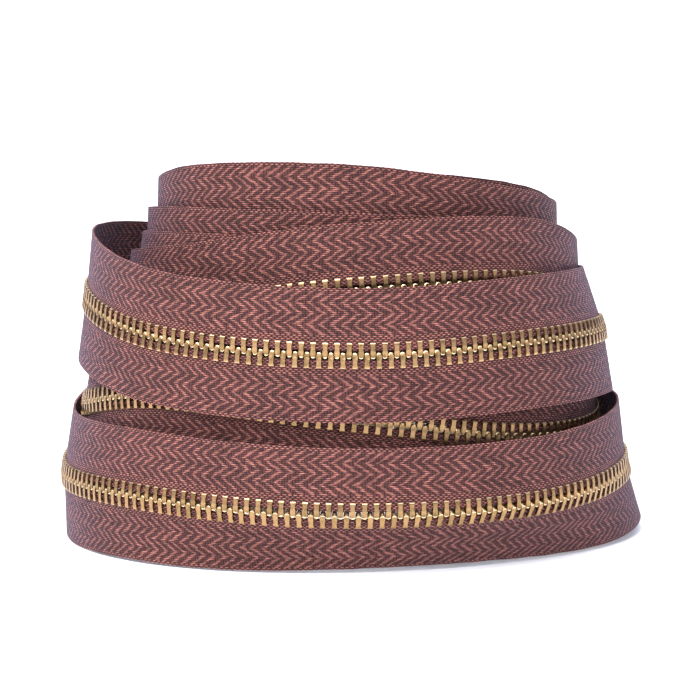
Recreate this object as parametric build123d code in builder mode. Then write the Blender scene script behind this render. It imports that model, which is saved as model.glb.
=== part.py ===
# A roll of metal zipper chain, standing on its edge with its turns drawn up into a tower.
# Millimetres, +Z up, the table at Z = 0 and the middle of the roll on the Z axis.
# The front is at -Y. Angles run anticlockwise seen from above and start at +X.
import os
from math import asin, atan2, cos, degrees, hypot, radians, sin, sqrt

from build123d import *

# chain
TAPE_HALF = 16.0  # from the row of teeth to either selvedge
TAPE_THICK = 0.6
TAPE_FROM = 2.45  # where the woven tape begins, past its bead cord
CORD_AT = 1.65
CORD_HALF = 0.6
PITCH = 2.8
TOOTH_WIDE = 1.15
TOOTH_HALF_THICK = 1.1
LEG_END = 3.1
HEAD_REACH = 0.83  # how far each head passes the middle of the chain
JAW_HALF = 0.42
BEAD_HALF = 0.73
BEAD_ROOM = (0.92, 2.38)

# roll
MIDDLE = (0.2, -1.4)  # where the axis of the spiral stands, so that its box is centred
STATION = 12.0  # degrees between two sections of a band
END_GAP = 0.25  # cut back from each joint between two bodies
TOOTH_CLEAR = 1.4  # nearest tooth to such a joint

# Each turn, inside out: radius of its row of teeth at the left, front, right and back
RADII = [
    (45.6, 47.4, 48.7, 48.2),
    (48.0, 49.9, 51.3, 50.8),
    (50.7, 52.2, 53.1, 53.3),
    (53.3, 54.6, 54.9, 55.9),
    (56.0, 57.2, 57.0, 60.5),
    (66.2, 62.6, 61.2, 63.3),
    (65.5, 65.6, 62.7, 69.0),
    (71.4, 70.6, 68.6, 73.5),
]
# and its height at the left, left front, front, right front, right and back
HEIGHTS = [
    (72.6, 78.1, 79.1, 74.9, 67.1, 61.1),
    (72.1, 79.0, 80.0, 73.8, 66.1, 59.6),
    (65.6, 68.6, 68.6, 65.6, 59.6, 52.6),
    (59.6, 62.6, 61.6, 55.6, 48.9, 44.6),
    (54.6, 60.1, 66.6, 66.6, 56.4, 43.9),
    (32.6, 40.0, 36.6, 30.1, 29.5, 49.0),
    (60.3, 54.3, 52.1, 53.2, 51.6, 35.6),
    (16.4, 16.3, 14.75, 15.3, 18.0, 16.3),
]
# How far the upper selvedge leans outward from its row of teeth, at the left, front, right and back
TOP_LEAN = [
    (0.5, 0.0, 0.6, 0.0),
    (-0.4, 0.0, -0.2, 0.0),
    (-0.6, 0.0, 0.0, -0.5),
    (-1.8, -0.5, -0.2, -1.0),
    (-1.6, -1.5, -0.8, -3.0),
    (-2.6, -0.6, -1.4, -1.6),
    (-1.5, -0.5, -5.0, -1.0),
    (-2.4, -1.0, -1.8, -2.0),
]
# and the lower one, at the same six places as the heights
FOOT_LEAN = [
    (0.0, 0.0, 0.0, 0.0, 0.0, 0.0),
    (0.0, 0.0, 0.0, 0.0, 0.0, 0.0),
    (0.0, 0.0, 0.0, 0.0, 0.0, 0.0),
    (0.3, 0.1, 0.0, 0.0, 0.0, 0.0),
    (0.5, 0.3, 0.0, 0.0, 0.0, 1.0),
    (0.3, 0.3, 0.3, 0.3, 0.3, 0.0),
    (2.2, 1.8, 0.8, 1.2, 2.7, 0.0),
    (-0.4, -1.6, -8.0, -6.8, 4.0, 0.0),
]
INNER_START = (90.0, 45.4, 67.6)  # angle, radius and height where the spiral begins

# Lengths of chain between two joints, as the angles at which they start and end
RUNS = {
    "inner_end": (100.0, 150.0),
    "turn_1": (150.0, 450.0),
    "turn_2": (450.0, 810.0),
    "turn_3": (810.0, 1170.0),
    "turn_4": (1170.0, 1530.0),
    "turn_5": (1530.0, 1890.0),
    "turn_6": (1890.0, 2250.0),
    "turn_7": (2250.0, 2610.0),
    "turn_8": (2610.0, 2925.0),
    "outer_end": (2925.0, 2995.0),
}


def stations(quarters, rows, first):
    """Angles and values of one quantity along the whole spiral."""
    spots = [(90.0, first)]
    for turn, row in enumerate(rows):
        for quarter, value in zip(quarters, row):
            spots.append((360.0 * turn + quarter, value))
    spots.append((spots[-1][0] + 90.0, spots[-1][1]))
    return spots


FOUR = (180.0, 270.0, 360.0, 450.0)
SIX = (180.0, 225.0, 270.0, 315.0, 360.0, 450.0)
RADIUS = stations(FOUR, RADII, INNER_START[1])
HEIGHT = stations(SIX, HEIGHTS, INNER_START[2])
TOP = stations(FOUR, TOP_LEAN, 0.5)
FOOT = stations(SIX, FOOT_LEAN, 0.0)


def slope_at(spots, i):
    if i == 0 or i == len(spots) - 1:
        j = min(i, len(spots) - 2)
        return (spots[j + 1][1] - spots[j][1]) / (spots[j + 1][0] - spots[j][0])
    before = spots[i][0] - spots[i - 1][0]
    after = spots[i + 1][0] - spots[i][0]
    rise = (spots[i][1] - spots[i - 1][1]) / before
    next_rise = (spots[i + 1][1] - spots[i][1]) / after
    return (rise * after + next_rise * before) / (before + after)


def eased(spots, angle):
    """A smooth curve through the stations."""
    i = 0
    while i < len(spots) - 2 and spots[i + 1][0] <= angle:
        i += 1
    span = spots[i + 1][0] - spots[i][0]
    t = (angle - spots[i][0]) / span
    a = slope_at(spots, i) * span
    b = slope_at(spots, i + 1) * span
    start = (2 * t**3 - 3 * t**2 + 1) * spots[i][1] + (t**3 - 2 * t**2 + t) * a
    return start + (3 * t**2 - 2 * t**3) * spots[i + 1][1] + (t**3 - t**2) * b


def row_point(angle):
    r = eased(RADIUS, angle)
    turn = radians(angle)
    x = MIDDLE[0] + r * cos(turn)
    y = MIDDLE[1] + r * sin(turn)
    return Vector(x, y, eased(HEIGHT, angle))


def lean_at(angle, side):
    """Angle from upright of one tape, outward positive."""
    spots = TOP if side > 0 else FOOT
    return asin(eased(spots, angle) / TAPE_HALF)


def climb_at(angle):
    ahead = row_point(angle + 0.5) - row_point(angle - 0.5)
    return atan2(ahead.Z, hypot(ahead.X, ahead.Y))


def section_plane(angle):
    turn = radians(angle)
    return Plane(
        origin=row_point(angle),
        x_dir=(cos(turn), sin(turn), 0),
        z_dir=(sin(turn), -cos(turn), 0),
    )


def across(angle, side, off, out):
    """A place in the section plane, off along the tape and out from its middle."""
    lean = lean_at(angle, side)
    stretch = 1 / cos(climb_at(angle))
    x = off * stretch * sin(lean) + out * cos(lean)
    y = side * (off * stretch * cos(lean) - out * sin(lean))
    return (x, y)


def degrees_for(length, angle):
    return degrees(length / eased(RADIUS, angle))


def angles_of(run):
    start, end = RUNS[run]
    first = start + degrees_for(END_GAP, start)
    last = end - degrees_for(END_GAP, end)
    steps = max(3, round((last - first) / STATION))
    return [first + (last - first) * i / steps for i in range(steps + 1)]


def band(run, side, outline):
    """A long solid through the same outline at every station of a run."""
    with BuildPart() as made:
        for angle in angles_of(run):
            with BuildSketch(section_plane(angle)):
                corners = [across(angle, side, off, out) for off, out in outline]
                Polygon(*corners, align=None)
        loft()
    return made.part


def tape(run, side):
    half = TAPE_THICK / 2
    outline = [
        (TAPE_FROM, -half),
        (TAPE_HALF, -half),
        (TAPE_HALF, half),
        (TAPE_FROM, half),
    ]
    return band(run, side, outline)


def cord(run, side):
    outline = []
    for i in range(6):
        turn = radians(60 * i)
        outline.append((CORD_AT + CORD_HALF * sin(turn), CORD_HALF * cos(turn)))
    return band(run, side, outline)


def one_tooth():
    """Two legs around the cord and tape, joined by a solid head."""
    low, high = BEAD_ROOM
    half = [
        (TOOTH_HALF_THICK, -0.45),
        (TOOTH_HALF_THICK, LEG_END),
        (JAW_HALF, LEG_END),
        (JAW_HALF, high),
        (BEAD_HALF, high - 0.35),
        (BEAD_HALF, low + 0.2),
        (BEAD_HALF - 0.2, low),
    ]
    other = [(-x, y) for x, y in reversed(half)]
    tip = [(-0.75, -HEAD_REACH), (0.75, -HEAD_REACH)]
    with BuildPart() as made:
        with BuildSketch():
            Polygon(*half, *other, *tip, align=None)
        extrude(amount=TOOTH_WIDE / 2, both=True)
    return made.part


def tooth_place(angle, side):
    ahead = (row_point(angle + 0.5) - row_point(angle - 0.5)).normalized()
    lean = lean_at(angle, side)
    turn = radians(angle)
    along = Vector(sin(lean) * cos(turn), sin(lean) * sin(turn), side * cos(lean))
    out = along.cross(ahead) * side * -1
    out = out.normalized()
    if out.X * cos(turn) + out.Y * sin(turn) < 0:
        out = out * -1
    up = ahead.cross(out).normalized()
    if up.Z * side < 0:
        up = up * -1
    return Plane(origin=row_point(angle), x_dir=out, z_dir=out.cross(up))


def tooth_angles(run, side):
    """Even steps along the chain, the lower row half a step after the upper."""
    start, end = RUNS[run]
    room = TOOTH_CLEAR if side > 0 else TOOTH_CLEAR + PITCH / 2
    length, angle, found = 0.0, start, []
    marks = [(start, 0.0)]
    while angle < end:
        step = (row_point(angle + 0.5) - row_point(angle)).length
        length += step
        angle += 0.5
        marks.append((angle, length))
    count = int((length - 2 * room) / PITCH)
    pitch = (length - 2 * TOOTH_CLEAR) / round((length - 2 * TOOTH_CLEAR) / PITCH)
    at = room
    i = 0
    while at < length - room + 0.01 and len(found) <= count + 1:
        while marks[i + 1][1] < at:
            i += 1
        share = (at - marks[i][1]) / (marks[i + 1][1] - marks[i][1])
        found.append(marks[i][0] + 0.5 * share)
        at += pitch
    return found


def teeth(run, side, tooth):
    placed = []
    for angle in tooth_angles(run, side):
        placed.append(tooth.moved(tooth_place(angle, side).location))
    return Compound(children=placed)


os.makedirs("parts", exist_ok=True)
tooth = one_tooth()
for run in RUNS:
    for word, side in (("upper", 1), ("lower", -1)):
        woven = tape(run, side)
        woven.label = f"{run}_{word}_tape"
        export_step(woven, f"parts/{run}_{word}_tape.step")
        bead = cord(run, side)
        bead.label = f"{run}_{word}_cord"
        export_step(bead, f"parts/{run}_{word}_cord.step")
        row = teeth(run, side, tooth)
        row.label = f"{run}_{word}_teeth"
        export_step(row, f"parts/{run}_{word}_teeth.step")
        print(run, word, "teeth", len(row.solids()), "tape volume", round(woven.volume))
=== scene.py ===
from bisect import bisect_right
from math import asin, atan2, cos, hypot, pi, radians, sin

import bmesh
import bpy
from mathutils import Matrix, Vector, noise


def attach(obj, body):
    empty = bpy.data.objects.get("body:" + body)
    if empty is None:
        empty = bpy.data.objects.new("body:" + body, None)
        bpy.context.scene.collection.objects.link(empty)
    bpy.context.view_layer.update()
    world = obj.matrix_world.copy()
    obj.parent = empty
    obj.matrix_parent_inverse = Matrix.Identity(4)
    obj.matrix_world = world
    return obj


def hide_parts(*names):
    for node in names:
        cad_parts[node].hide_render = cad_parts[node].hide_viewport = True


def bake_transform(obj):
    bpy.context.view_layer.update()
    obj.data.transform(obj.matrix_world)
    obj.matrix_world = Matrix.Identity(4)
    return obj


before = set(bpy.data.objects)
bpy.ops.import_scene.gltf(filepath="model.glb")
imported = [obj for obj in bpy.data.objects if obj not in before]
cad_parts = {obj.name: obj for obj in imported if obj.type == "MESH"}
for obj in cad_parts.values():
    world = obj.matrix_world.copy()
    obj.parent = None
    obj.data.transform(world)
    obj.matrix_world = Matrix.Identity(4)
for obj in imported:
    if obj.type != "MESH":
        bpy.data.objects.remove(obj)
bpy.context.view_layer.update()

mm = 0.001

# the spiral that the chain follows, inside out, in millimetres and degrees
roll = {
    "middle": (0.2, -1.4),
    "radii": [  # of the row of teeth, at the left, front, right and back of each turn
        (45.6, 47.4, 48.7, 48.2),
        (48.0, 49.9, 51.3, 50.8),
        (50.7, 52.2, 53.1, 53.3),
        (53.3, 54.6, 54.9, 55.9),
        (56.0, 57.2, 57.0, 60.5),
        (66.2, 62.6, 61.2, 63.3),
        (65.5, 65.6, 62.7, 69.0),
        (71.4, 70.6, 68.6, 73.5),
    ],
    "heights": [  # of the same row, at the left, left front, front, right front, right and back
        (72.6, 78.1, 79.1, 74.9, 67.1, 61.1),
        (72.1, 79.0, 80.0, 73.8, 66.1, 59.6),
        (65.6, 68.6, 68.6, 65.6, 59.6, 52.6),
        (59.6, 62.6, 61.6, 55.6, 48.9, 44.6),
        (54.6, 60.1, 66.6, 66.6, 56.4, 43.9),
        (32.6, 40.0, 36.6, 30.1, 29.5, 49.0),
        (60.3, 54.3, 52.1, 53.2, 51.6, 35.6),
        (16.4, 16.3, 14.75, 15.3, 18.0, 16.3),
    ],
    "topLean": [  # how far the upper selvedge stands out from the teeth, at the four places
        (0.5, 0.0, 0.6, 0.0),
        (-0.4, 0.0, -0.2, 0.0),
        (-0.6, 0.0, 0.0, -0.5),
        (-1.8, -0.5, -0.2, -1.0),
        (-1.6, -1.5, -0.8, -3.0),
        (-2.6, -0.6, -1.4, -1.6),
        (-1.5, -0.5, -5.0, -1.0),
        (-2.4, -1.0, -1.8, -2.0),
    ],
    "footLean": [  # and the lower one, at the six places
        (0.0, 0.0, 0.0, 0.0, 0.0, 0.0),
        (0.0, 0.0, 0.0, 0.0, 0.0, 0.0),
        (0.0, 0.0, 0.0, 0.0, 0.0, 0.0),
        (0.3, 0.1, 0.0, 0.0, 0.0, 0.0),
        (0.5, 0.3, 0.0, 0.0, 0.0, 1.0),
        (0.3, 0.3, 0.3, 0.3, 0.3, 0.0),
        (2.2, 1.8, 0.8, 1.2, 2.7, 0.0),
        (-0.4, -1.6, -8.0, -6.8, 4.0, 0.0),
    ],
    "startAngle": 90.0,
    "start": (45.4, 67.6, 0.5, 0.0),  # radius, height and both leans where the spiral begins
    "leanOver": 16.0,  # the width of tape over which the leans are measured
    "step": 0.5,  # degrees between two marks along the chain
    # angles of the cut ends and of the cuts between them
    "runs": (100.0, 150.0, 450.0, 810.0, 1170.0, 1530.0, 1890.0, 2250.0, 2610.0, 2925.0, 2995.0),
}
fullTurn = 360.0
quarterTurn = 90.0


def stationsOf(quarters, rows, first):  # angles and values of one quantity along the spiral
    spots = [(roll["startAngle"], first)]
    for turn, row in enumerate(rows):
        spots += [(fullTurn * turn + quarter, value) for quarter, value in zip(quarters, row)]
    return spots + [(spots[-1][0] + quarterTurn, spots[-1][1])]


fourPlaces = (180.0, 270.0, 360.0, 450.0)
sixPlaces = (180.0, 225.0, 270.0, 315.0, 360.0, 450.0)
radiusSpots = stationsOf(fourPlaces, roll["radii"], roll["start"][0])
heightSpots = stationsOf(sixPlaces, roll["heights"], roll["start"][1])
topSpots = stationsOf(fourPlaces, roll["topLean"], roll["start"][2])
footSpots = stationsOf(sixPlaces, roll["footLean"], roll["start"][3])


def slopeAt(spots, i):
    if i == 0 or i == len(spots) - 1:
        j = min(i, len(spots) - 2)
        return (spots[j + 1][1] - spots[j][1]) / (spots[j + 1][0] - spots[j][0])
    before = spots[i][0] - spots[i - 1][0]
    after = spots[i + 1][0] - spots[i][0]
    rise = (spots[i][1] - spots[i - 1][1]) / before
    nextRise = (spots[i + 1][1] - spots[i][1]) / after
    return (rise * after + nextRise * before) / (before + after)


def eased(spots, angle):  # a smooth curve through the stations
    i = 0
    while i < len(spots) - 2 and spots[i + 1][0] <= angle:
        i += 1
    span = spots[i + 1][0] - spots[i][0]
    t = (angle - spots[i][0]) / span
    a = slopeAt(spots, i) * span
    b = slopeAt(spots, i + 1) * span
    first = (2 * t**3 - 3 * t**2 + 1) * spots[i][1] + (t**3 - 2 * t**2 + t) * a
    return first + (3 * t**2 - 2 * t**3) * spots[i + 1][1] + (t**3 - t**2) * b


def rowPoint(angle):
    r = eased(radiusSpots, angle)
    turn = radians(angle)
    x = roll["middle"][0] + r * cos(turn)
    y = roll["middle"][1] + r * sin(turn)
    return Vector((x, y, eased(heightSpots, angle)))


def leanAt(angle, side):
    return asin(eased(topSpots if side > 0 else footSpots, angle) / roll["leanOver"])


def aheadAt(angle):
    return rowPoint(angle + roll["step"]) - rowPoint(angle - roll["step"])


def across(angle, side, off, out):  # off the teeth along the tape, and out from its middle
    ahead = aheadAt(angle)
    stretch = 1 / cos(atan2(ahead.z, hypot(ahead.x, ahead.y)))
    lean = leanAt(angle, side)
    turn = radians(angle)
    x = off * stretch * sin(lean) + out * cos(lean)
    z = side * (off * stretch * cos(lean) - out * sin(lean))
    return rowPoint(angle) + Vector((x * cos(turn), x * sin(turn), z))


marks = [(roll["runs"][0], 0.0)]  # angle, and length of chain since its inner end
while marks[-1][0] < roll["runs"][-1]:
    angle, length = marks[-1]
    onward = angle + roll["step"]
    marks.append((onward, length + (rowPoint(onward) - rowPoint(angle)).length))
markAngles = [angle for angle, length in marks]
markLengths = [length for angle, length in marks]


def lengthAt(angle):
    i = min(bisect_right(markAngles, angle) - 1, len(marks) - 2)
    share = (angle - markAngles[i]) / roll["step"]
    return markLengths[i] + share * (markLengths[i + 1] - markLengths[i])


def angleAt(length):
    i = max(0, min(bisect_right(markLengths, length) - 1, len(marks) - 2))
    share = (length - markLengths[i]) / (markLengths[i + 1] - markLengths[i])
    return markAngles[i] + roll["step"] * share


# which stretch of the chain goes with which body, and the links across each joint
stretches = [
    {"body": "inner_tail", "from": 100.0, "to": 150.0, "runs": ["inner_end"]},
    {"body": "innermost_turns", "from": 150.0, "to": 810.0, "runs": ["turn_1", "turn_2"]},
    {"body": "upper_turns", "from": 810.0, "to": 1890.0, "runs": ["turn_3", "turn_4", "turn_5"]},
    {"body": "sixth_turn", "from": 1890.0, "to": 2250.0, "runs": ["turn_6"]},
    {"body": "seventh_turn", "from": 2250.0, "to": 2610.0, "runs": ["turn_7"]},
    {"body": "outer_turn", "from": 2610.0, "to": 2925.0, "runs": ["turn_8"]},
    {"body": "outer_tail", "from": 2925.0, "to": 2995.0, "runs": ["outer_end"]},
]
seam = {
    "slideReach": 25.0,  # half the length of a link across a slide
    "bendReach": 12.0,  # and across a bend
    "margin": 3.0,  # kept in from either end of a link
}


def reachOf(before, after):
    bends = "tail" in before["body"] or "tail" in after["body"]
    return seam["bendReach"] if bends else seam["slideReach"]


links = []
for before, after in zip(stretches, stretches[1:]):
    reach = reachOf(before, after)
    middle = lengthAt(before["to"])
    links.append({
        "name": f"{before['body']}_to_{after['body']}",
        "bodies": (before["body"], after["body"]),
        "from": angleAt(middle - reach),
        "to": angleAt(middle + reach),
        "bendFrom": angleAt(middle - reach + seam["margin"]),
        "bendTo": angleAt(middle + reach - seam["margin"]),
    })
for i, stretch in enumerate(stretches):
    stretch["name"] = stretch["body"]
    if i > 0:
        stretch["from"] = links[i - 1]["to"]
    if i < len(links):
        stretch["to"] = links[i]["from"]
print("chain", round(markLengths[-1]), "mm:", len(stretches), "stretches,", len(links), "links")


def deselectAll():
    bpy.ops.object.select_all(action="DESELECT")


def finishShape(piece, smoothAngle):
    deselectAll()
    piece.select_set(True)
    bpy.context.view_layer.objects.active = piece
    bpy.ops.object.mode_set(mode="EDIT")
    bpy.ops.mesh.select_all(action="SELECT")
    bpy.ops.mesh.normals_make_consistent(inside=False)
    bpy.ops.object.mode_set(mode="OBJECT")
    bpy.ops.object.shade_smooth_by_angle(angle=radians(smoothAngle))


# these make materials out of nodes
def newMaterial(name):
    made = bpy.data.materials.new(name)
    made.use_nodes = True
    return made, made.node_tree, made.node_tree.nodes["Principled BSDF"]


def feed(tree, socket, value):  # with a number, a colour or another node's output
    if isinstance(value, (int, float)):
        socket.default_value = value
    elif isinstance(value, tuple):
        socket.default_value = (*value, 1.0)
    else:
        tree.links.new(value, socket)


def calc(tree, operation, *values, clamp=False):
    node = tree.nodes.new("ShaderNodeMath")
    node.operation = operation
    node.use_clamp = clamp
    for socket, value in zip(node.inputs, values):
        feed(tree, socket, value)
    return node.outputs[0]


def plus(tree, a, b):
    return calc(tree, "ADD", a, b)


def less(tree, a, b):
    return calc(tree, "SUBTRACT", a, b)


def times(tree, a, b):
    return calc(tree, "MULTIPLY", a, b)


def over(tree, a, b):
    return calc(tree, "DIVIDE", a, b)


def fraction(tree, a):
    return calc(tree, "FRACT", a)


def vectorOf(tree, x, y, z=0.0):
    node = tree.nodes.new("ShaderNodeCombineXYZ")
    for socket, value in zip(node.inputs, (x, y, z)):
        feed(tree, socket, value)
    return node.outputs[0]


def noiseOf(tree, vector, scale, detail=2.0, roughness=0.5):
    node = tree.nodes.new("ShaderNodeTexNoise")
    node.inputs["Scale"].default_value = scale
    node.inputs["Detail"].default_value = detail
    node.inputs["Roughness"].default_value = roughness
    tree.links.new(vector, node.inputs["Vector"])
    return node.outputs["Fac"]


def rampOf(tree, value, stops):
    node = tree.nodes.new("ShaderNodeValToRGB")
    ramp = node.color_ramp
    while len(ramp.elements) < len(stops):
        ramp.elements.new(0.5)
    for element, (place, colour) in zip(ramp.elements, stops):
        element.position = place
        element.color = (*colour, 1.0)
    tree.links.new(value, node.inputs["Fac"])
    return node.outputs["Color"]


def blendOf(tree, kind, factor, a, b):
    node = tree.nodes.new("ShaderNodeMix")
    node.data_type = "RGBA"
    node.blend_type = kind
    feed(tree, node.inputs["Factor"], factor)
    feed(tree, node.inputs[6], a)  # its colours, whose names its numbers have too
    feed(tree, node.inputs[7], b)
    return node.outputs[2]


def bumpOf(tree, shader, height, strength, deep):
    node = tree.nodes.new("ShaderNodeBump")
    node.inputs["Strength"].default_value = strength
    node.inputs["Distance"].default_value = deep * mm
    tree.links.new(height, node.inputs["Height"])
    tree.links.new(node.outputs["Normal"], shader.inputs["Normal"])


def attributeOf(tree, name):
    node = tree.nodes.new("ShaderNodeAttribute")
    node.attribute_name = name
    return node.outputs["Fac"]


# woven cloth: herringbone twill in bands, with a plain strip by the teeth and a selvedge
weave = {
    "rowPitch": 0.475,  # millimetres between neighbouring warp threads
    "repeat": 2.72,  # length of one float and the gap behind it
    "plainTo": 4.65,  # how far from the teeth the plain strip goes
    "bandWide": 2.62,
    "selvedgeFrom": 15.13,
    "floatHalf": 0.31,  # half a float's share of the repeat
    "plainHalf": 0.40,
    "threadHalf": 0.47,  # half a warp thread's share of its row
    "weftHalf": 0.48,
    "weftHeight": 0.52,  # against the warp
    "tilt": 0.8,  # how far a float of the twill lies askew
    "wander": 0.5,  # millimetres that a thread strays along its row
    "uneven": 0.8,  # share of a repeat that one row may be ahead of the next
    "unevenGrain": (0.5, 3.7),  # a grain is how often noise changes along and across the threads
    "fibreGrain": (1.3, 9.0),
    "slubGrain": (1.3, 1.8),
    "patchGrain": 55.0,
    # colours along the height of the weave: painted shade in the gaps, the weft and warp colours
    # between, a painted highlight on top of the threads
    "gap": (0.020, 0.006, 0.008),
    "weft": (0.058, 0.018, 0.016),
    "warp": (0.165, 0.054, 0.040),
    "paintedThreadHighlight": (0.340, 0.138, 0.108),
    "tone": (0.35, 0.4, 0.9),  # of a thread by itself, its fibres and its slubs
    "lightness": (0.66, 0.68),  # of the darkest float, and how much lighter the palest is
    "patches": 0.35,  # how much larger patches differ
    "fibreRelief": 0.25,
    "deep": 0.16,  # height of the weave in millimetres
    "bump": 0.9,
    "roughness": (0.86, 0.26),  # in the gaps, and how much less on top of the threads
    "sheen": 0.14,
    "sheenRoughness": 0.35,
    "sheenTint": (0.50, 0.58, 1.0),
    "specular": 0.25,
}


def threadShape(tree, place, halfWide):  # a rounded bump in the middle of each cell
    away = over(tree, less(tree, place, 0.5), halfWide)
    return calc(tree, "SUBTRACT", 1.0, times(tree, away, away), clamp=True)


def alongThreads(tree, u, v, grain, detail=2.0):  # noise drawn out along the threads
    stretched = vectorOf(tree, times(tree, u, grain[0]), times(tree, v, grain[1]))
    return noiseOf(tree, stretched, 1.0, detail)


def wovenMaterial(name, twill=True):
    made, tree, shader = newMaterial(name)
    uv = tree.nodes.new("ShaderNodeUVMap")
    uv.uv_map = "UVMap"
    split = tree.nodes.new("ShaderNodeSeparateXYZ")
    tree.links.new(uv.outputs["UV"], split.inputs[0])
    u, v = split.outputs[0], split.outputs[1]

    # slow wander of the threads, so the rows aren't ruled lines
    wander = noiseOf(tree, vectorOf(tree, times(tree, u, 0.35), v), 0.6, 1.0)
    u = plus(tree, u, times(tree, wander, weave["wander"]))

    # warp threads lie in rows along the tape, each row's floats a step after its neighbour's
    rows = over(tree, v, weave["rowPitch"])
    row = calc(tree, "FLOOR", rows)
    inRow = fraction(tree, rows)
    rowMiddle = times(tree, plus(tree, row, 0.5), weave["rowPitch"])
    pastPlain = less(tree, rowMiddle, weave["plainTo"])
    quarterRepeat = weave["repeat"] / 4
    folded = calc(tree, "PINGPONG", pastPlain, weave["bandWide"])
    shifted = plus(tree, u, times(tree, folded, quarterRepeat / weave["rowPitch"]))
    uneven = alongThreads(tree, u, row, weave["unevenGrain"])
    twillPlace = over(tree, shifted, weave["repeat"])
    twillPlace = plus(tree, twillPlace, times(tree, uneven, weave["uneven"]))
    twillSpot = fraction(tree, twillPlace)
    twillFloat = threadShape(tree, twillSpot, weave["floatHalf"])

    # the strip by the teeth and the selvedge are plain weave
    odd = times(tree, calc(tree, "MODULO", row, 2.0), 0.5)
    plainPlace = plus(tree, over(tree, u, weave["repeat"] / 2), odd)
    plainFloat = threadShape(tree, fraction(tree, plainPlace), weave["plainHalf"])
    inside = times(tree, calc(tree, "GREATER_THAN", rowMiddle, weave["plainTo"]),
                   calc(tree, "LESS_THAN", rowMiddle, weave["selvedgeFrom"]))
    inside = times(tree, inside, 1.0 if twill else 0.0)
    along = plus(tree, times(tree, twillFloat, inside),
                 times(tree, plainFloat, less(tree, 1.0, inside)))

    # floats of the twill lie a little askew, along its diagonal
    band = over(tree, pastPlain, 2 * weave["bandWide"])
    falling = calc(tree, "GREATER_THAN", fraction(tree, band), 0.5)
    askew = times(tree, less(tree, twillSpot, 0.5), weave["tilt"])
    askew = times(tree, askew, less(tree, 1.0, times(tree, falling, 2.0)))
    acrossRow = plus(tree, inRow, times(tree, askew, inside))
    warp = times(tree, calc(tree, "POWER", along, 0.5),
                 threadShape(tree, acrossRow, weave["threadHalf"]))
    picks = threadShape(tree, fraction(tree, over(tree, u, quarterRepeat)), 0.5)
    weft = times(tree, picks, threadShape(tree, inRow, weave["weftHalf"]))
    weft = times(tree, weft, weave["weftHeight"])
    height = calc(tree, "MAXIMUM", warp, weft)

    # fibres and slubs along each thread, and floats that took the dye a little differently
    fibres = alongThreads(tree, u, v, weave["fibreGrain"], 3.0)
    slubs = alongThreads(tree, u, v, weave["slubGrain"])
    cell = tree.nodes.new("ShaderNodeTexWhiteNoise")
    cell.noise_dimensions = "2D"
    tree.links.new(vectorOf(tree, calc(tree, "FLOOR", twillPlace), row), cell.inputs["Vector"])
    place = tree.nodes.new("ShaderNodeTexCoord").outputs["Object"]
    patches = noiseOf(tree, place, weave["patchGrain"], 3.0)

    # the tone rises with the height of the threads, so the colour runs from painted shade down
    # in the gaps to a painted highlight on their tops; fibres and slubs vary it
    plainTone, fibreTone, slubTone = weave["tone"]
    tone = times(tree, height, plus(tree, plainTone, times(tree, fibres, fibreTone)))
    tone = plus(tree, tone, times(tree, height, times(tree, slubs, slubTone)))
    colour = rampOf(tree, tone, [
        (0.0, weave["gap"]), (0.30, weave["weft"]), (0.70, weave["warp"]), (1.0, weave["paintedThreadHighlight"]),
    ])
    darkest, spread = weave["lightness"]
    lightness = plus(tree, darkest, times(tree, cell.outputs["Value"], spread))
    lightness = plus(tree, lightness, times(tree, less(tree, patches, 0.5), weave["patches"]))
    grey = vectorOf(tree, lightness, lightness, lightness)
    colour = blendOf(tree, "MULTIPLY", 1.0, colour, grey)
    tree.links.new(colour, shader.inputs["Base Color"])

    relief = plus(tree, height, times(tree, fibres, weave["fibreRelief"]))
    bumpOf(tree, shader, relief, weave["bump"], weave["deep"])
    roughest, smoother = weave["roughness"]
    rough = less(tree, roughest, times(tree, height, smoother))
    tree.links.new(rough, shader.inputs["Roughness"])
    shader.inputs["Sheen Weight"].default_value = weave["sheen"]
    shader.inputs["Sheen Roughness"].default_value = weave["sheenRoughness"]
    shader.inputs["Sheen Tint"].default_value = (*weave["sheenTint"], 1.0)
    shader.inputs["Specular IOR Level"].default_value = weave["specular"]
    return made


# brass: yellow and olive in clouds, and a painted highlight at both ends of each tooth
brass = {
    "bright": (0.42, 0.255, 0.115),
    "dull": (0.25, 0.155, 0.065),
    "warm": (0.40, 0.215, 0.105),
    # the colour of the painted highlight at the ends of the teeth, and how strongly it is mixed
    # in
    "paintedHighlightColour": (0.95, 0.76, 0.46),
    "paintedHighlightWeight": 0.8,
    "clouds": 900.0,
    "specks": 4200.0,
    "cloudShare": 0.85,  # of the tone
    "toothShare": 0.14,  # how much one tooth differs from the next
    "roughness": (0.22, 0.24),  # at its smoothest, and how much the clouds add
    "cloudRelief": 1.5,  # against the specks
    "bump": 0.35,
    "deep": 0.05,
    "paintedHighlightFrom": 0.28,  # millimetres from either end of a tooth that get the painted highlight
}


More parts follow.
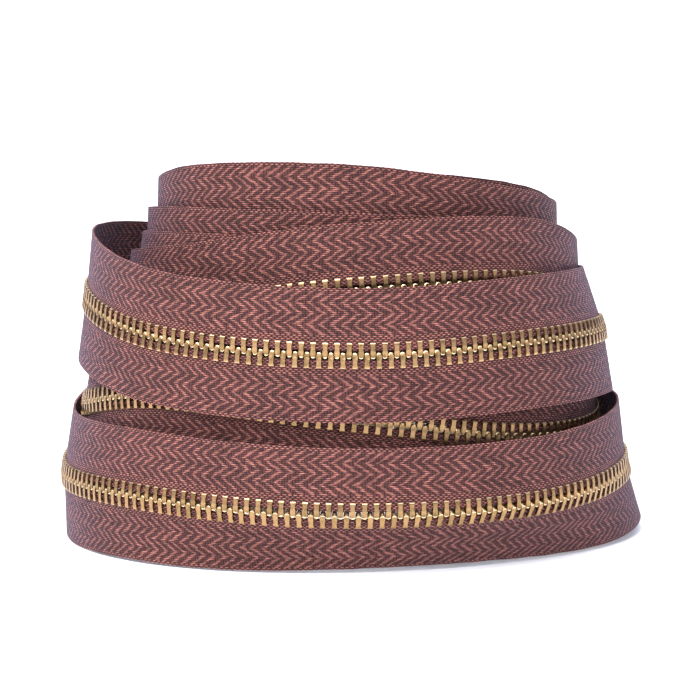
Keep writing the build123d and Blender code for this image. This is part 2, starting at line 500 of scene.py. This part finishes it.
def brassMaterial():
    made, tree, shader = newMaterial("teethBrass")
    place = tree.nodes.new("ShaderNodeTexCoord").outputs["Object"]
    clouds = noiseOf(tree, place, brass["clouds"], 3.0, 0.6)
    specks = noiseOf(tree, place, brass["specks"], 2.0)
    tone = plus(tree, times(tree, clouds, brass["cloudShare"]),
                times(tree, attributeOf(tree, "toothTone"), brass["toothShare"]))
    colour = rampOf(tree, tone, [
        (0.22, brass["dull"]), (0.52, brass["bright"]), (0.80, brass["warm"]),
    ])
    # a pale painted highlight mixed over both ends of each tooth
    paintedHighlightMask = times(tree, attributeOf(tree, "toothWorn"), brass["paintedHighlightWeight"])
    colour = blendOf(tree, "MIX", paintedHighlightMask, colour, brass["paintedHighlightColour"])
    tree.links.new(colour, shader.inputs["Base Color"])
    shader.inputs["Metallic"].default_value = 1.0
    smoothest, spread = brass["roughness"]
    rough = plus(tree, smoothest, times(tree, clouds, spread))
    tree.links.new(rough, shader.inputs["Roughness"])
    relief = plus(tree, specks, times(tree, clouds, brass["cloudRelief"]))
    bumpOf(tree, shader, relief, brass["bump"], brass["deep"])
    return made


tapeCloth = wovenMaterial("tapeHerringbone")
cordCloth = wovenMaterial("beadCordThread", twill=False)
teethMetal = brassMaterial()
print("materials made")

# one half of the tape: a flat strip, wound on edge round the spiral
tape = {
    "from": 2.1,  # how far from the teeth it begins and ends
    "half": 16.0,
    "thick": 0.52,
    "step": 1.9,  # length of its faces
    "rows": 15,  # of faces across it
    "wave": 0.16,  # how far the selvedge wavers in and out
    "waveLength": 19.0,
    "lift": 0.14,  # and up and down
    "liftLength": 6.0,
    "drawnIn": 0.1,  # how much narrower the selvedge makes it
    "smooth": 50,
}


def gridOf(name, columns, rows):
    deselectAll()
    bpy.ops.mesh.primitive_grid_add(
        x_subdivisions=columns, y_subdivisions=rows, size=1.0, location=(0, 0, 0))
    piece = bpy.context.object
    piece.name = name
    piece.data.name = name
    return piece


def layUv(piece, spots):  # one pair of millimetres for each vertex
    layer = piece.data.uv_layers["UVMap"]
    for loop in piece.data.loops:
        layer.data[loop.index].uv = spots[loop.vertex_index]


def windTape(name, start, end, side):
    first, last = lengthAt(start), lengthAt(end)
    columns = max(4, round((last - first) / tape["step"]))
    piece = gridOf(name, columns, tape["rows"])
    spots = []
    for vertex in piece.data.vertices:
        length = first + (vertex.co.x + 0.5) * (last - first)
        share = vertex.co.y + 0.5
        off = tape["from"] + share * (tape["half"] - tape["from"])
        ripple = noise.noise(Vector((length / tape["waveLength"], 7.0 * side, 0.0)))
        edge = noise.noise(Vector((length / tape["liftLength"], 3.0 * side, 5.0)))
        out = tape["wave"] * ripple * share**2
        lifted = off + tape["lift"] * edge * share**3 - tape["drawnIn"] * share**3
        vertex.co = across(angleAt(length), side, lifted, out) * mm
        spots.append((side * length, off))
    layUv(piece, spots)
    solid = piece.modifiers.new("thickness", "SOLIDIFY")
    solid.thickness = tape["thick"] * mm
    solid.offset = 0.0
    bpy.ops.object.modifier_apply(modifier=solid.name)
    finishShape(piece, tape["smooth"])
    piece.data.materials.append(tapeCloth)
    return piece, (last - first) * mm


# the bead cord that the tape's inner edge is woven round, and how far it is from the teeth
cord = {"at": 1.62, "radius": 0.6, "sides": 10, "step": 1.4, "smooth": 60}


def windCord(name, start, end, side):
    first, last = lengthAt(start), lengthAt(end)
    columns = max(4, round((last - first) / cord["step"]))
    piece = gridOf(name, columns, cord["sides"])
    spots = []
    for vertex in piece.data.vertices:
        length = first + (vertex.co.x + 0.5) * (last - first)
        turn = 2 * pi * (vertex.co.y + 0.5)
        off = cord["at"] + cord["radius"] * cos(turn)
        vertex.co = across(angleAt(length), side, off, cord["radius"] * sin(turn)) * mm
        spots.append((side * length, cord["radius"] * turn))
    layUv(piece, spots)
    bpy.ops.object.mode_set(mode="EDIT")
    bpy.ops.mesh.select_all(action="SELECT")
    bpy.ops.mesh.remove_doubles(threshold=0.01 * mm)
    bpy.ops.mesh.select_all(action="DESELECT")
    bpy.ops.mesh.select_non_manifold()  # the two open ends
    bpy.ops.mesh.fill()
    bpy.ops.object.mode_set(mode="OBJECT")
    finishShape(piece, cord["smooth"])
    piece.data.materials.append(cordCloth)
    return piece


# one tooth, modelled once in millimetres: x out of the chain, y across it, z along it
tooth = {
    "halfThick": 1.1,
    "headReach": 0.70,  # past the middle of the chain
    "neck": 0.92,  # where the head divides into legs
    "beadHalf": 0.73,  # half the room between the legs for the cord
    "jawHalf": 0.42,  # and for the tape
    "jawFrom": 2.1,
    "legEnd": 3.1,
    "headWide": 1.24,
    "shankWide": 1.05,
    "capWide": 1.24,  # the widened ends of the legs
    "capDeep": 0.8,
    "neckTaper": 0.25,
    "capTaper": 0.14,
    "headRound": 0.52,
    "hollow": (0.26, -0.10),  # rim left round the hollow in each head face, and its depth
    "rimRound": 0.2,
    "legRound": 0.3,
    "smooth": 50,
    "clear": 1.4,  # from the end of a run to its first tooth
    "pitch": 2.8,
    "askew": 0.035,  # the most a tooth leans along the chain, in radians
}


def selectWhere(kind, test):
    bpy.context.tool_settings.mesh_select_mode = (False, kind == "edges", kind == "faces")
    bpy.ops.mesh.select_all(action="DESELECT")
    mesh = bmesh.from_edit_mesh(bpy.context.object.data)
    for element in getattr(mesh, kind):
        if test(element):
            element.select_set(True)
    bmesh.update_edit_mesh(bpy.context.object.data)


def selectFaces(test):
    selectWhere("faces", lambda face: test(face.calc_center_median(), face.normal))


def selectEdges(test):
    selectWhere("edges", lambda edge: test(edge.verts[0].co, edge.verts[1].co))


def growLegs(distance, wide=1.0):
    bpy.ops.mesh.extrude_region_move(TRANSFORM_OT_translate={"value": (0, distance, 0)})
    bpy.ops.transform.resize(value=(1, 1, wide))


def outerEdge(a, b):  # an edge on the front or back of the tooth
    return all(abs(p.x) > tooth["halfThick"] - 0.01 for p in (a, b))


def modelTooth():
    t = tooth
    deselectAll()
    middle = (t["neck"] - t["headReach"]) / 2
    bpy.ops.mesh.primitive_cube_add(size=1.0, location=(0, middle, 0))
    piece = bpy.context.object
    piece.name = "toothPattern"
    piece.scale = (2 * t["halfThick"], t["neck"] + t["headReach"], t["headWide"])
    bpy.ops.object.transform_apply(location=True, rotation=True, scale=True)
    bpy.ops.object.mode_set(mode="EDIT")
    for x in (-t["beadHalf"], t["beadHalf"]):
        bpy.ops.mesh.select_all(action="SELECT")
        bpy.ops.mesh.bisect(plane_co=(x, 0, 0), plane_no=(1, 0, 0))

    # two legs grow from the head: a neck, the shank, the widened end
    selectFaces(lambda c, n: n.y > 0.9 and abs(c.x) > t["beadHalf"])
    growLegs(t["neckTaper"], t["shankWide"] / t["headWide"])
    growLegs(t["jawFrom"] - t["neck"] - t["neckTaper"])
    growLegs(t["legEnd"] - t["capDeep"] - t["jawFrom"])
    growLegs(t["capTaper"], t["capWide"] / t["shankWide"])
    growLegs(t["capDeep"] - t["capTaper"])
    for sign in (-1, 1):  # the jaws close on the tape
        inner = sign * t["beadHalf"]
        selectEdges(lambda a, b: min(a.y, b.y) > t["jawFrom"] + 0.05
                    and all(abs(p.x - inner) < 0.01 for p in (a, b)))
        bpy.ops.transform.translate(value=(sign * t["jawHalf"] - inner, 0, 0))

    # round the head, hollow its faces, then ease its rims and the ends of the legs
    selectEdges(lambda a, b: max(a.y, b.y) < 0.01 - t["headReach"] and abs(a.z - b.z) < 0.01)
    bpy.ops.mesh.bevel(offset=t["headRound"], segments=3)
    rim, depth = t["hollow"]
    for sign in (-1, 1):
        selectFaces(lambda c, n: n.x * sign > 0.9 and c.y < t["neck"] - 0.2)
        bpy.ops.mesh.inset(thickness=rim, depth=depth)
    selectEdges(lambda a, b: max(a.y, b.y) < 0.1 and outerEdge(a, b))
    bpy.ops.mesh.bevel(offset=t["rimRound"], segments=1)
    selectEdges(lambda a, b: min(a.y, b.y) > t["legEnd"] - 0.01 and outerEdge(a, b))
    bpy.ops.mesh.bevel(offset=t["legRound"], segments=2)
    bpy.ops.object.mode_set(mode="OBJECT")
    finishShape(piece, t["smooth"])
    # marks both ends of the tooth for the painted highlight
    paintedHighlightMask = piece.data.attributes.new("toothWorn", "FLOAT", "POINT")
    for vertex, spot in zip(piece.data.vertices, paintedHighlightMask.data):
        inset = min(t["legEnd"] - vertex.co.y, vertex.co.y + t["headReach"])
        spot.value = 1.0 if inset < brass["paintedHighlightFrom"] else 0.0
    piece.data.materials.append(teethMetal)
    print("tooth has", len(piece.data.polygons), "faces")
    return piece


def toothFrame(angle, side):  # turns the tooth's own axes into the chain's at that angle
    ahead = aheadAt(angle).normalized()
    lean, turn = leanAt(angle, side), radians(angle)
    along = Vector((sin(lean) * cos(turn), sin(lean) * sin(turn), side * cos(lean)))
    out = along.cross(ahead).normalized()
    if out.x * cos(turn) + out.y * sin(turn) < 0:
        out = -out
    up = ahead.cross(out).normalized()
    if up.z * side < 0:
        up = -up
    axes = Matrix((out, up, out.cross(up))).transposed().to_4x4()
    return Matrix.Translation(rowPoint(angle) * mm) @ axes @ Matrix.Scale(mm, 4)


def toothAngles(side):  # even steps along each run, the lower row half a step after the upper
    found = []
    for start, end in zip(roll["runs"], roll["runs"][1:]):
        first, last = lengthAt(start), lengthAt(end)
        room = tooth["clear"] if side > 0 else tooth["clear"] + tooth["pitch"] / 2
        clear = last - first - 2 * tooth["clear"]
        pitch = clear / round(clear / tooth["pitch"])
        at = first + room
        while at < last - room + 0.01:
            found.append(angleAt(at))
            at += pitch
        if side < 0 and end < roll["runs"][-1]:  # one more across the cut
            found.append(end)
    return found


def rowOfTeeth(name, angles, side, pattern):
    deselectAll()
    for angle in angles:
        copy = pattern.copy()
        copy.data = pattern.data.copy()
        bpy.context.scene.collection.objects.link(copy)
        askew = tooth["askew"] * noise.noise(Vector((angle, side, 0.5)))
        wobble = Matrix.Rotation(askew, 4, "X")
        copy.data.transform(toothFrame(angle, side) @ wobble)
        tone = copy.data.attributes.new("toothTone", "FLOAT", "POINT")
        value = noise.cell(Vector((angle * 7.3, side * 2.0, 1.0)))
        tone.data.foreach_set("value", [value] * len(copy.data.vertices))
        copy.select_set(True)
        bpy.context.view_layer.objects.active = copy
    bpy.ops.object.join()
    row = bpy.context.object
    row.name = name
    row.data.name = name
    return row


# the whole chain, one half after the other
pattern = modelTooth()
halves = {"upper": 1, "lower": -1}
angles = {word: toothAngles(side) for word, side in halves.items()}
for word, side in halves.items():
    for part in stretches + links:
        name = part["name"]
        cloth, length = windTape(f"{name}_{word}_tape", part["from"], part["to"], side)
        bead = windCord(f"{name}_{word}_cord", part["from"], part["to"], side)
        here = [angle for angle in angles[word] if part["from"] <= angle < part["to"]]
        teeth = rowOfTeeth(f"{name}_{word}_teeth", here, side, pattern)
        for piece, slotName in ((cloth, "tape"), (bead, "cord"), (teeth, "teeth")):
            if "body" in part:
                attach(piece, part["body"])
                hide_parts(*[f"{run}_{word}_{slotName}" for run in part["runs"]])
            else:
                start, end = rowPoint(part["bendFrom"]) * mm, rowPoint(part["bendTo"]) * mm
                end.z = start.z
                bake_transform(piece)
    print(word, "half wound with", len(angles[word]), "teeth")
bpy.data.objects.remove(pattern)

# floor, light and camera
studio = {
    "floor": 60.0,
    "floorDark": (0.93, 0.93, 0.93),
    "floorPale": (0.96, 0.96, 0.96),
    "skyLow": (0.27, 0.30, 0.42),
    "skyHigh": (1.40, 1.50, 1.80),
    "sunFrom": (-0.35, -0.55, 1.2),
    "sunColour": (1.0, 0.97, 0.92),
    "sun": 3.3,
    "sunAngle": 60.0,
    "keyFrom": (-0.30, -0.9, 0.65),
    "keyAt": (0, 0, 0.05),
    "keySize": 0.5,
    "key": 7.0,
    "lookAt": (0.02, -1.4, 45.55),  # in millimetres, all else in metres and degrees
    "rise": 6.9,
    "distance": 1.1,
    "lens": 226.3,
}


def paleFloor():
    deselectAll()
    bpy.ops.mesh.primitive_plane_add(size=studio["floor"], location=(0, 0, -0.2 * mm))
    floorPiece = bpy.context.object
    floorPiece.name = "studioFloor"
    made, tree, shader = newMaterial("paleFloor")
    place = tree.nodes.new("ShaderNodeTexCoord").outputs["Object"]
    mottle = noiseOf(tree, place, 3.0, 2.0)
    colour = rampOf(tree, mottle, [(0.3, studio["floorDark"]), (0.7, studio["floorPale"])])
    tree.links.new(colour, shader.inputs["Base Color"])
    shader.inputs["Roughness"].default_value = 0.9
    shader.inputs["Specular IOR Level"].default_value = 0.1
    floorPiece.data.materials.append(made)


def lampAt(name, kind, place, target, energy):
    data = bpy.data.lights.new(name, kind)
    data.energy = energy
    lamp = bpy.data.objects.new(name, data)
    bpy.context.scene.collection.objects.link(lamp)
    lamp.location = place
    lamp.rotation_euler = (Vector(target) - Vector(place)).to_track_quat("-Z", "Y").to_euler()
    return data


def paleSky():
    world = bpy.data.worlds.new("studioSky")
    bpy.context.scene.world = world
    world.use_nodes = True
    tree = world.node_tree
    direction = tree.nodes.new("ShaderNodeTexCoord").outputs["Generated"]
    split = tree.nodes.new("ShaderNodeSeparateXYZ")
    tree.links.new(direction, split.inputs[0])
    shade = rampOf(tree, split.outputs[2], [(0.0, studio["skyLow"]), (0.9, studio["skyHigh"])])
    tree.links.new(shade, tree.nodes["Background"].inputs["Color"])
    tree.nodes["Background"].inputs["Strength"].default_value = 1.0


def aimCamera():
    target = Vector(studio["lookAt"]) * mm
    rise = radians(studio["rise"])
    data = bpy.data.cameras.new("viewCamera")
    data.lens = studio["lens"]
    data.clip_start = 0.05
    data.clip_end = 100.0
    camera = bpy.data.objects.new("viewCamera", data)
    bpy.context.scene.collection.objects.link(camera)
    camera.location = target + Vector((0, -cos(rise), sin(rise))) * studio["distance"]
    camera.rotation_euler = (target - camera.location).to_track_quat("-Z", "Y").to_euler()
    bpy.context.scene.camera = camera


paleFloor()
paleSky()
sun = lampAt("overheadSun", "SUN", studio["sunFrom"], (0, 0, 0), studio["sun"])
sun.angle = radians(studio["sunAngle"])
sun.color = studio["sunColour"]
key = lampAt("frontKey", "AREA", studio["keyFrom"], studio["keyAt"], studio["key"])
key.size = studio["keySize"]
aimCamera()
bpy.context.scene.view_settings.view_transform = "Standard"
print("stage set")
